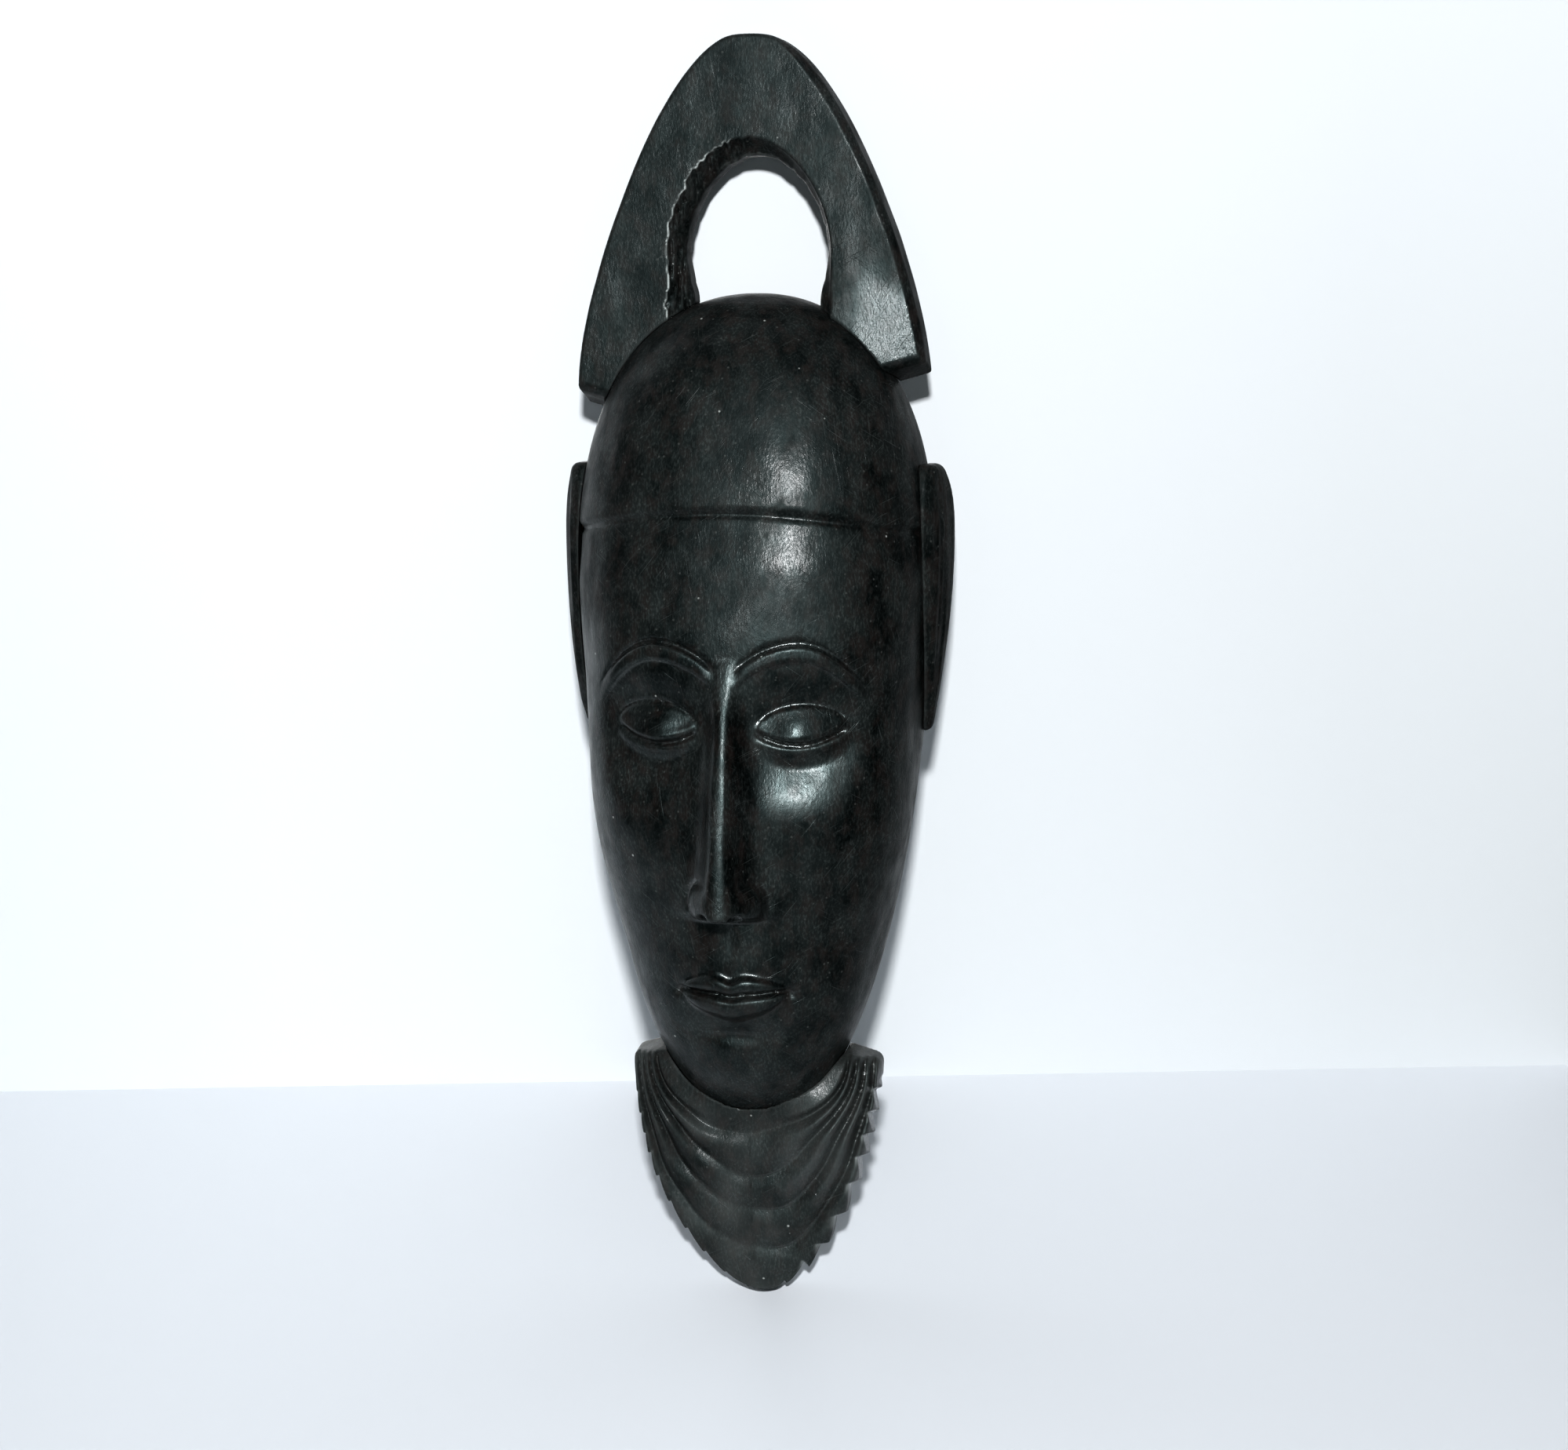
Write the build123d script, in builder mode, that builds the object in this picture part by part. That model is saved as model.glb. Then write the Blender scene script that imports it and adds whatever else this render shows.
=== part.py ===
"""A carved ebony wall mask, built up from separately carved pieces that are pegged and glued together.

The mask stands on the Z axis with its flat back on the plane y = 0 and its front facing -Y. The origin is on
the back plane at the foot of the beard. All lengths are in millimetres.

    face_block        egg-shaped head, hollowed from behind, with nose, eyelids and lips
    crest_arch        pointed arch on top of the head, with a bevelled opening
    ear_plate_*       narrow plates along both sides of the head, left and right as seen from the front
    beard_collar      stepped, notched collar that the chin rests on
    *_dowels          pegs across the glued seams
    hanger_*          strap, screw and swinging ring in a pocket in the back of the head
"""

from build123d import *
from math import cos, pi, sin
import os

os.makedirs("parts", exist_ok=True)

# ---- driving dimensions --------------------------------------------------------------------------------------
overall_height = 320.0
glue_gap = 0.15  # between carved pieces that are glued together

crown_z = 256.0  # top of the head
chin_z = 42.0
widest_z = 195.0  # where the head is widest
deepest_z = 160.0  # where the forehead and cheeks stand furthest from the wall
head_half_width = 45.0
head_depth = 42.0
crown_roundness = 2.15  # superellipse powers of the head's outline, side view and plan
depth_roundness = 2.4
plan_roundness = 2.5
nose_rise = 12.0  # how far the nose stands from the face at its base, half-way up and at the bridge
nose_middle_rise = 8.0
nose_bridge_rise = 2.0
lip_thickness = 3.6
hollow_half_height = 66.0  # the hollow scooped out of the back of the head
hollow_half_width = 27.0
hollow_z = 137.0

crest_thickness = 11.5
crest_half_width = 54.5  # of the tall ellipse whose top is the crest's outline
crest_half_height = 201.6
crest_foot_z = 229.0
crest_foot_right_z = 239.0
crest_foot_left_z = 231.5  # the left foot is cut lower
foot_slope = 6.0  # how far a foot's underside drops towards the head
arch_x = 1.0  # the opening sits a little to the right of its bevel
arch_centre_z = 266.0
arch_half_width = 18.2
arch_rise = 24.0
arch_sill_narrowing = 2.5  # the opening draws in by this much on each side towards its sill
bevel_half_width = 21.0
bevel_rise = 28.2
bevel_depth = 5.0

ear_top_z = 213.5
ear_tip_z = 146.0
ear_widest_z = 196.0
ear_depth = 14.0
ear_outer_x = 50.2  # at the back; the outer face slopes in towards the front
ear_front_x = 46.0
ear_top_x = 46.5
ear_tip_x = 44.0
ear_inner_x = 32.0  # inside the head, which is then cut away from the plate

beard_top_z = 62.0
beard_half_width = 32.5
beard_tiers = 4
tier_step = 4.0  # each tier is set in by this much
tier_rise = 1.8  # and stands this much prouder
beard_edge_depth = 10.0
lap_depth = 8.0  # the chin laps over the beard by resting on this thickness of it
notch_count = 18
notch_radius = 1.5

dowel_radius = 2.0
dowel_clearance = 0.05
dowel_half_length = 7.0
dowel_end_room = 0.4
ear_dowel_out = 2.0  # an ear is thin, so its pegs reach only this far into it
ear_dowel_depth = 4.5  # from the wall, where the ear is thickest
beard_dowel_out = lap_depth - 2
crest_dowel_z = 240.0
ear_dowel_heights = (168.0, 198.0)
beard_dowel_x = 7.0
beard_dowel_z = 53.5

pocket_width = 20.0
pocket_low_z = 210.0
pocket_high_z = 243.5
pocket_depth = 7.0
strap_half_width = 4.0
strap_thickness = 1.6
eye_radius = 1.9
ring_wire_radius = 1.0
ring_clearance = 0.1
ring_half_width = 6.5
ring_corner = 2.0
ring_leg = 6.0  # from the hinge line to where the round end starts
screw_shank_radius = 1.4
screw_head_radius = 2.7
screw_head_height = 1.6
screw_length = 11.0
screw_point_length = 2.5
screw_slot_width = 0.7

# ---- positions worked out from them --------------------------------------------------------------------------
face_unit = (crown_z - chin_z) / 3.5  # crown to hairline is half a unit; brow, nose and chin follow a unit apart
brow_z = chin_z + 2 * face_unit
nose_base_z = chin_z + face_unit
mouth_z = nose_base_z - face_unit / 3
eye_z = (crown_z + chin_z) / 2
eye_width = 2 * head_half_width / 5

eye_axis_y = -pocket_depth + eye_radius  # the ring's hinge line
eye_axis_z = 226.0
strap_end_z = eye_axis_z - ring_leg - ring_half_width + ring_wire_radius + 0.3
strap_screw_z = strap_end_z + strap_half_width


def superellipse(share, power):
    """How far a superellipse quadrant has come in, from 1 at share 0 to 0 at share 1."""
    return max(0.0, 1 - abs(share) ** power) ** (1 / power)


def half_width(z):
    """Half the width of the head at height z."""
    if z > widest_z:
        return head_half_width * superellipse((z - widest_z) / (crown_z - widest_z), crown_roundness)
    return head_half_width * superellipse((widest_z - z) / (widest_z - chin_z), 2)


def front_depth(z):
    """How far the head's centre line stands from the back plane at height z, without nose or lips."""
    end = crown_z if z > deepest_z else chin_z
    return head_depth * superellipse((z - deepest_z) / (end - deepest_z), depth_roundness)


def head_section(z, grow=0.0):
    """Points round the front of the head at height z, from its right side to its left, grown by grow."""
    wide, deep = half_width(z) + grow, front_depth(z) + grow
    steps = 12
    points = []
    for i in range(steps + 1):
        turn = pi * i / steps
        across = abs(cos(turn)) ** (2 / plan_roundness) * (1 if cos(turn) > 0 else -1)
        points.append((wide * across, -deep * abs(sin(turn)) ** (2 / plan_roundness)))
    return points


def head_solid(grow=0.0):
    """The plain head: D-shaped sections, closer together towards the crown and the chin."""
    sections = 14
    flat_end = 0.4  # how far short of the crown and the chin the loft stops
    middle = (crown_z + chin_z) / 2
    reach = (crown_z - chin_z) / 2 - flat_end
    with BuildPart() as head:
        for i in range(sections + 1):
            share = -cos(pi * i / sections)
            points = head_section(middle + reach * share, grow)
            with BuildSketch(Plane.XY.offset(middle + (reach + grow) * share)):
                with BuildLine():
                    Spline(*points, tangents=((0, -1), (0, 1)))
                    Line(points[-1], points[0])
                make_face()
        loft()
    return head.part


def chin_room():
    """The space that the chin takes up in front of the lap."""
    with BuildPart() as room:
        add(head_solid(glue_gap))
        with BuildSketch(Plane.XZ):
            with Locations((0, beard_top_z)):
                Rectangle(4 * beard_half_width, 4 * beard_top_z)
        extrude(amount=lap_depth, mode=Mode.SUBTRACT)
    return room.part


def crest_dowel_axis(side):
    """A plane on the seam between the head and one foot of the crest, with its Z along the dowel."""
    seam = (side * half_width(crest_dowel_z), -crest_thickness / 2, crest_dowel_z)
    return Plane(origin=seam, z_dir=(side, 0, 0.55))


def ear_dowel_axes(side):
    """The same for the two dowels of one ear plate."""
    axes = []
    for z in ear_dowel_heights:
        seam = (side * (half_width(z) - 0.2), -ear_dowel_depth, z)
        axes.append(Plane(origin=seam, z_dir=(side, 0, 0)))
    return axes


crest_axes = [crest_dowel_axis(-1), crest_dowel_axis(1)]
ear_axes = {side: ear_dowel_axes(side) for side in (-1, 1)}
beard_axes = []
for side in (-1, 1):
    beard_axes.append(Plane(origin=(side * beard_dowel_x, -lap_depth, beard_dowel_z), z_dir=(0, 1, 0)))


def spheroid(centre, half_length, radius):
    """An ellipse turned about its long axis, which lies along X."""
    x, y, z = centre
    with BuildPart() as made:
        with BuildSketch(Plane.XY.offset(z)):
            with Locations((x, y)):
                Ellipse(half_length, radius)
                Rectangle(3 * half_length, 2 * radius, align=(Align.CENTER, Align.MAX), mode=Mode.SUBTRACT)
        revolve(axis=Axis(centre, (1, 0, 0)))
    return made.part


def pegs(axes, radius, in_length, out_length, eased=0.0):
    """Round pegs, one on each plane, reaching in_length below it and out_length above it, with eased ends."""
    with BuildPart() as made:
        for plane in axes:
            with BuildSketch(plane.offset(-in_length)):
                Circle(radius)
            extrude(amount=in_length + out_length)
        if eased:
            chamfer(made.edges().filter_by(GeomType.CIRCLE), length=eased)
    return made.part


def dowel_holes(axes, out_length=dowel_half_length):
    """What to cut for dowels that reach out_length into the outer piece, with room for glue."""
    radius = dowel_radius + dowel_clearance
    return pegs(axes, radius, dowel_half_length + dowel_end_room, out_length + dowel_end_room)


# ---- face block ----------------------------------------------------------------------------------------------
with BuildPart() as face_block:
    add(head_solid())

    # nose: a narrow bridge that widens and rises towards its base
    bridge_z = brow_z + 4
    for z, half, rise in (
        (nose_base_z, 0.5 * eye_width, nose_rise),
        ((nose_base_z + bridge_z) / 2, 0.26 * eye_width, nose_middle_rise),
        (bridge_z, 0.16 * eye_width, nose_bridge_rise),
    ):
        with BuildSketch(Plane.XY.offset(z)):
            with BuildLine():
                Polyline(
                    (-half, 4 - front_depth(z)),
                    (-0.3 * half, -front_depth(z) - rise),
                    (0.3 * half, -front_depth(z) - rise),
                    (half, 4 - front_depth(z)),
                    close=True,
                )
            make_face()
    loft()

    # lips and eyelids
    for z in (mouth_z + 0.7 * lip_thickness, mouth_z - 0.7 * lip_thickness):
        add(spheroid((0, 0.3 * lip_thickness - front_depth(z), z), 0.75 * eye_width, lip_thickness))
    for side in (-1, 1):
        add(spheroid((side * eye_width, eye_width / 5 - front_depth(eye_z), eye_z), eye_width / 2, eye_width / 4))

    # hollow: an upright ellipsoid scooped out from behind
    with BuildSketch(Plane.XZ):
        with Locations((0, hollow_z)):
            Ellipse(hollow_half_width, hollow_half_height)
        with Locations((-hollow_half_width, hollow_z)):
            Rectangle(2 * hollow_half_width, 2 * hollow_half_height + 2, mode=Mode.SUBTRACT)
    revolve(axis=Axis.Z, mode=Mode.SUBTRACT)

    # pocket for the hanger
    with BuildSketch(Plane.XZ):
        with Locations((0, (pocket_low_z + pocket_high_z) / 2)):
            RectangleRounded(pocket_width, pocket_high_z - pocket_low_z, 4)
    extrude(amount=pocket_depth, mode=Mode.SUBTRACT)
    with BuildSketch(Plane.XZ.offset(pocket_depth)):
        with Locations((0, strap_screw_z)):
            Circle(screw_shank_radius + dowel_clearance)
    extrude(amount=screw_length - strap_thickness + 1, mode=Mode.SUBTRACT)

    # lap: the chin is cut back where it rests on the beard
    with BuildSketch(Plane.XZ):
        with Locations((0, beard_top_z + glue_gap)):
            Rectangle(4 * beard_half_width, beard_top_z, align=(Align.CENTER, Align.MAX))
    extrude(amount=lap_depth + glue_gap, mode=Mode.SUBTRACT)

    add(dowel_holes(crest_axes + ear_axes[-1] + ear_axes[1] + beard_axes), mode=Mode.SUBTRACT)
face_block.part.label = "face_block"
export_step(face_block.part, "parts/face_block.step")

# ---- crest arch ----------------------------------------------------------------------------------------------
def arch_face(depth, x, half_width, rise):
    """A round arch on a sill that lies inside the crown of the head, in the plane at this depth."""
    sill_z = crown_z - 5
    sill_half_width = half_width - arch_sill_narrowing
    with BuildSketch(Plane.XZ.offset(depth)) as arch:
        with BuildLine():
            Line((x - half_width, arch_centre_z), (x - sill_half_width, sill_z))
            Line((x - sill_half_width, sill_z), (x + sill_half_width, sill_z))
            Line((x + sill_half_width, sill_z), (x + half_width, arch_centre_z))
            EllipticalCenterArc((x, arch_centre_z), half_width, rise, start_angle=0, arc_size=180)
        make_face()
    return arch.sketch


with BuildPart() as crest_arch:
    with BuildSketch(Plane.XZ):
        with Locations((0, overall_height - crest_half_height)):
            Ellipse(crest_half_width, crest_half_height)
        with Locations((0, crest_foot_z)):
            Rectangle(
                3 * crest_half_width,
                3 * crest_half_height,
                align=(Align.CENTER, Align.MAX),
                mode=Mode.SUBTRACT,
            )
    extrude(amount=crest_thickness)

    # opening, then the bevel that widens it towards the front
    back_opening = arch_face(0, arch_x, arch_half_width, arch_rise)
    extrude(back_opening, amount=crest_thickness, mode=Mode.SUBTRACT)
    bevel_back = arch_face(crest_thickness - bevel_depth, arch_x, arch_half_width, arch_rise)
    bevel_front = arch_face(crest_thickness, 0, bevel_half_width, bevel_rise)
    loft([bevel_back, bevel_front], mode=Mode.SUBTRACT)

    # feet: both undersides drop towards the head, the left one lower
    foot_inner_x, foot_outer_x, below_feet_z = 34, 60, crest_foot_z - 10
    for side, foot_z in ((1, crest_foot_right_z), (-1, crest_foot_left_z)):
        with BuildSketch(Plane.XZ):
            with BuildLine():
                Polyline(
                    (side * foot_outer_x, foot_z + foot_slope / 4),
                    (side * foot_inner_x, foot_z - foot_slope),
                    (side * foot_inner_x, below_feet_z),
                    (side * foot_outer_x, below_feet_z),
                    close=True,
                )
            make_face()
        extrude(amount=crest_thickness, mode=Mode.SUBTRACT)
    add(head_solid(glue_gap), mode=Mode.SUBTRACT)
    add(dowel_holes(crest_axes), mode=Mode.SUBTRACT)
crest_arch.part.label = "crest_arch"
export_step(crest_arch.part, "parts/crest_arch.step")

# ---- ear plates ----------------------------------------------------------------------------------------------
for name, side in (("ear_plate_left", -1), ("ear_plate_right", 1)):
    with BuildPart() as ear_plate:
        # front view: a long shallow bow, fullest above its middle
        top = (side * ear_top_x, ear_top_z)
        fullest = (side * ear_outer_x, ear_widest_z)
        tip = (side * ear_tip_x, ear_tip_z)
        lower_middle = (side * (ear_outer_x - 1.4), (ear_tip_z + ear_widest_z) / 2)
        upper_middle = (side * (ear_outer_x - 0.6), (ear_top_z + ear_widest_z) / 2)
        with BuildSketch(Plane.XZ):
            with BuildLine():
                ThreePointArc(tip, lower_middle, fullest)
                ThreePointArc(fullest, upper_middle, top)
                Polyline(top, (side * ear_inner_x, ear_top_z), (side * ear_inner_x, ear_tip_z), tip)
            make_face()
        extrude(amount=ear_depth)
        # side view: the front edge comes back towards the wall, most of all at the tip
        side_top, side_tip = (-0.75 * ear_depth, ear_top_z + 1), (-0.3 * ear_depth, ear_tip_z - 1)
        with BuildSketch(Plane.YZ):
            with BuildLine():
                ThreePointArc(side_top, (-ear_depth, ear_widest_z), side_tip)
                Polyline(side_tip, (0, ear_tip_z - 1), (0, ear_top_z + 1), side_top)
            make_face()
        extrude(amount=2 * ear_outer_x, both=True, mode=Mode.INTERSECT)
        # from above: the outer face slopes in from the wall to the front edge
        with BuildSketch(Plane.XY.offset(ear_tip_z - 1)):
            with BuildLine():
                Polyline(
                    (side * ear_inner_x, 0),
                    (side * (ear_outer_x + 1), 0),
                    (side * ear_front_x, -ear_depth),
                    (side * ear_inner_x, -ear_depth),
                    close=True,
                )
            make_face()
        extrude(amount=ear_top_z - ear_tip_z + 2, mode=Mode.INTERSECT)
        add(head_solid(glue_gap), mode=Mode.SUBTRACT)
        add(dowel_holes(ear_axes[side], ear_dowel_out), mode=Mode.SUBTRACT)
    ear_plate.part.label = name
    export_step(ear_plate.part, f"parts/{name}.step")

# ---- beard collar --------------------------------------------------------------------------------------------
with BuildPart() as beard_collar:
    # tiers: half ellipses that share their top edge, each set in from the last and standing prouder
    for tier in range(beard_tiers):
        inset = tier * tier_step
        with BuildSketch(Plane.XZ):
            with Locations((0, beard_top_z)):
                Ellipse(beard_half_width - inset, beard_top_z - 1.6 * inset)
                Rectangle(
                    3 * beard_half_width,
                    2 * beard_top_z,
                    align=(Align.CENTER, Align.MIN),
                    mode=Mode.SUBTRACT,
                )
        extrude(amount=beard_edge_depth + tier * tier_rise)
    # notches round the outer edge
    with BuildSketch(Plane.XZ):
        for i in range(notch_count):
            turn = pi * (i + 1) / (notch_count + 1)
            with Locations((beard_half_width * cos(turn), beard_top_z * (1 - sin(turn)))):
                Circle(notch_radius)
    extrude(amount=beard_edge_depth, mode=Mode.SUBTRACT)
    add(chin_room(), mode=Mode.SUBTRACT)
    add(dowel_holes(beard_axes, beard_dowel_out), mode=Mode.SUBTRACT)
beard_collar.part.label = "beard_collar"
export_step(beard_collar.part, "parts/beard_collar.step")

# ---- dowels --------------------------------------------------------------------------------------------------
for name, axes, out_length in (
    ("crest_dowels", crest_axes, dowel_half_length),
    ("ear_dowels", ear_axes[-1] + ear_axes[1], ear_dowel_out),
    ("beard_dowels", beard_axes, beard_dowel_out),
):
    dowels = pegs(axes, dowel_radius, dowel_half_length, out_length, eased=0.5)
    dowels.label = name
    export_step(dowels, f"parts/{name}.step")

# ---- hanger strap: a flat tongue with a rolled eye at the top ------------------------------------------------
with BuildPart() as hanger_strap:
    with BuildSketch(Plane.XZ.offset(pocket_depth)):
        with Locations((0, strap_screw_z)):
            Circle(strap_half_width)
            Rectangle(2 * strap_half_width, eye_axis_z - strap_screw_z, align=(Align.CENTER, Align.MIN))
    extrude(amount=-strap_thickness)
    with BuildSketch(Plane.YZ.offset(-strap_half_width)):
        with Locations((eye_axis_y, eye_axis_z)):
            Circle(eye_radius)
    extrude(amount=2 * strap_half_width)
    with BuildSketch(Plane.YZ.offset(-strap_half_width)):
        with Locations((eye_axis_y, eye_axis_z)):
            Circle(ring_wire_radius + ring_clearance)
    extrude(amount=2 * strap_half_width, mode=Mode.SUBTRACT)
    with BuildSketch(Plane.XZ.offset(pocket_depth)):
        with Locations((0, strap_screw_z)):
            Circle(screw_shank_radius + dowel_clearance)
    extrude(amount=-strap_thickness, mode=Mode.SUBTRACT)
hanger_strap.part.label = "hanger_strap"
export_step(hanger_strap.part, "parts/hanger_strap.step")

# ---- hanger ring: D-shaped wire whose straight side turns in the eye, hanging down over the screw ------------
with BuildPart() as hanger_ring:
    bar_half = ring_half_width - ring_corner
    leg_z = eye_axis_z - ring_leg
    with BuildLine(Plane.XZ.offset(-eye_axis_y)) as ring_path:
        Line((0, eye_axis_z), (bar_half, eye_axis_z))
        RadiusArc((bar_half, eye_axis_z), (ring_half_width, eye_axis_z - ring_corner), ring_corner)
        Line((ring_half_width, eye_axis_z - ring_corner), (ring_half_width, leg_z))
        ThreePointArc((ring_half_width, leg_z), (0, leg_z - ring_half_width), (-ring_half_width, leg_z))
        Line((-ring_half_width, leg_z), (-ring_half_width, eye_axis_z - ring_corner))
        RadiusArc((-ring_half_width, eye_axis_z - ring_corner), (-bar_half, eye_axis_z), ring_corner)
        Line((-bar_half, eye_axis_z), (0, eye_axis_z))
    with BuildSketch(Plane.YZ):
        with Locations((eye_axis_y, eye_axis_z)):
            Circle(ring_wire_radius)
    sweep(path=ring_path.wire())
hanger_ring.part.label = "hanger_ring"
export_step(hanger_ring.part, "parts/hanger_ring.step")

# ---- hanger screw: pan head with a slot, pointed shank -------------------------------------------------------
with BuildPart() as hanger_screw:
    seat_y = -pocket_depth + strap_thickness
    with BuildSketch(Plane.XZ.offset(-seat_y)):
        with Locations((0, strap_screw_z)):
            Circle(screw_head_radius)
    extrude(amount=-screw_head_height)
    fillet(hanger_screw.faces().sort_by(Axis.Y)[-1].edges(), 1.0)
    with BuildSketch(Plane.XZ.offset(-seat_y - screw_head_height)):
        with Locations((0, strap_screw_z)):
            Rectangle(3 * screw_head_radius, screw_slot_width)
    extrude(amount=screw_head_height / 2, mode=Mode.SUBTRACT)
    with BuildSketch(Plane.XZ.offset(-seat_y)):
        with Locations((0, strap_screw_z)):
            Circle(screw_shank_radius)
    extrude(amount=screw_length)
    shank_end = hanger_screw.faces().sort_by(Axis.Y)[0].edges()
    chamfer(shank_end, length=screw_point_length, length2=screw_shank_radius - 0.2)
hanger_screw.part.label = "hanger_screw"
export_step(hanger_screw.part, "parts/hanger_screw.step")
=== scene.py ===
"""A carved ebony wall mask with a pointed crest, ear plates and a notched beard, on its CAD frame.

Every wooden piece is sculpted as a field: a function of points, in millimetres, that is below zero
inside the wood and above zero outside it. carve() meshes the surface between and fits each vertex
to it. The mask faces -Y. It leans back against a wall, but stands upright here, so the wall and the
floor are tilted instead.
"""

import itertools
from math import atan2, cos, pi, radians, sin

import bpy
import numpy as np
import openvdb
from mathutils import Matrix, Vector
from mathutils.geometry import intersect_plane_plane


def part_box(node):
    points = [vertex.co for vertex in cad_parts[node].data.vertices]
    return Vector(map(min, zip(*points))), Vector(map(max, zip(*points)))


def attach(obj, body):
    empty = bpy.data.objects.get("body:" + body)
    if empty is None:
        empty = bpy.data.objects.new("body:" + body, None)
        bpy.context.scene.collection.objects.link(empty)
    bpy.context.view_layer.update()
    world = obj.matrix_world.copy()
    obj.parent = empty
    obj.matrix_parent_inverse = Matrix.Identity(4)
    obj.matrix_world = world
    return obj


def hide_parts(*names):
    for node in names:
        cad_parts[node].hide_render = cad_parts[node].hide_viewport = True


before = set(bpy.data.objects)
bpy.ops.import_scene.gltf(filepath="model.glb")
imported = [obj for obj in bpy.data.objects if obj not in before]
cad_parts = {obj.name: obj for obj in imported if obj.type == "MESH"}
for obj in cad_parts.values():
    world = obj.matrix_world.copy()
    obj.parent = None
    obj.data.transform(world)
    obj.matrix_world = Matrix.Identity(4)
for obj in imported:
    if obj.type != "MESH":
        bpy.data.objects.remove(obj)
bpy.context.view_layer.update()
MM = 0.001
COARSE = 1.0


# ---- the frame, in millimetres -------------------------------------------------------------------
def box_mm(node):
    """Lowest and highest corners of a CAD node in millimetres."""
    low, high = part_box(node)
    return np.array(low) / MM, np.array(high) / MM


head_low, head_high = box_mm("face_block")
crest_low, crest_high = box_mm("crest_arch")
_, beard_high = box_mm("beard_collar")
strap_low, strap_high = box_mm("hanger_strap")
ring_low, ring_high = box_mm("hanger_ring")
screw_low, screw_high = box_mm("hanger_screw")

# the CAD head's ends are cut flat just short of these
crown_z, chin_z = head_high[2] + 0.4, head_low[2] - 0.9
head_height = crown_z - chin_z
head_half_width = head_high[0]
head_depth = 42.0
widest_z = chin_z + 0.715 * head_height
deepest_z = chin_z + 0.55 * head_height
plan_power = 2.5
glue_gap = 0.15

# the usual proportions: brow, nose and chin a unit apart, and the head five eyes wide
face_unit = head_height / 3.5
eye = 2 * head_half_width / 5
brow_z = chin_z + 2 * face_unit
nose_base_z = chin_z + face_unit
mouth_z = nose_base_z - face_unit / 3
eye_z = (crown_z + chin_z) / 2

beard_top_z = beard_high[2]
beard_half_width = beard_high[0]
lap_depth = 8.0


# ---- field helpers -------------------------------------------------------------------------------
def ramp(value):
    """0 below 0 and 1 above 1, with a smooth rise between."""
    share = np.clip(value, 0, 1)
    return share * share * (3 - 2 * share)


def bell(*offsets):
    """1 where every offset is 0, and close to 0 once one of them passes 2."""
    return np.exp(-sum(offset**2 for offset in offsets))


def smooth_max(a, b, radius):
    """The larger of a and b, with the crease between them rounded off: the space that both share."""
    overlap = np.maximum(radius - np.abs(a - b), 0) / radius
    return np.maximum(a, b) + overlap**2 * radius / 4


def cut(wood, tool, radius=0.4):
    """The wood with the tool's space taken out of it."""
    return smooth_max(wood, -tool, radius)


def noise(points, lump, seed):
    """Smooth noise from -1 to 1. lump is the size of its lumps along X, Y and Z."""
    size = 32
    lattice = np.random.default_rng(seed).uniform(-1, 1, (size, size, size))
    at = points / np.array(lump) + 4 * size
    cell = np.floor(at).astype(int)
    share = ramp(at - cell)
    total = 0.0
    for corner in itertools.product((0, 1), repeat=3):
        weight = np.prod(np.where(corner, share, 1 - share), axis=1)
        total = total + weight * lattice[tuple(((cell + corner) % size).T)]
    return total


def slope_of(field, points, reach=0.02):
    """The field's gradient, by central differences."""
    slopes = []
    for axis in np.eye(3) * reach:
        slopes.append((field(points + axis) - field(points - axis)) / (2 * reach))
    return np.stack(slopes, axis=1)


def as_distance(gauge, points, reach=0.25):
    """Near its zero surface, turns a smooth gauge into a distance in millimetres."""
    value = gauge(points)
    steepness = np.zeros(len(points))
    for axis in np.eye(3) * reach:
        steepness += ((gauge(points + axis) - value) / reach) ** 2
    return value / np.sqrt(steepness + 1e-9)


# ---- meshing -------------------------------------------------------------------------------------
def voxel_surface(field, low, high, step):
    """Vertices and quads of the field's zero surface between two corners."""
    block, margin, steepest = 3, 3.0, 3.0
    counts = np.ceil((high - low + 2 * margin) / (step * block)).astype(int)
    start = low - margin
    starts = [start[i] + step * block * np.arange(counts[i]) + step for i in range(3)]
    centres = np.stack(np.meshgrid(*starts, indexing="ij"), axis=-1).reshape(-1, 3)
    coarse = field(centres).reshape(counts)
    values = coarse
    for axis in range(3):
        values = np.repeat(values, block, axis=axis)
    near = np.abs(values) < steepest * step * block * 0.9
    at = start + step * np.argwhere(near)
    values = np.sign(values) * 10 * step
    found = [field(part) for part in np.array_split(at, len(at) // 400000 + 1)]
    values[near] = np.concatenate(found)
    grid = openvdb.FloatGrid(10 * step)
    grid.copyFromArray(values.astype(np.float32))
    points, quads = grid.convertToQuads(isovalue=0.0)
    return start + step * points.astype(float), quads


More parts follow.
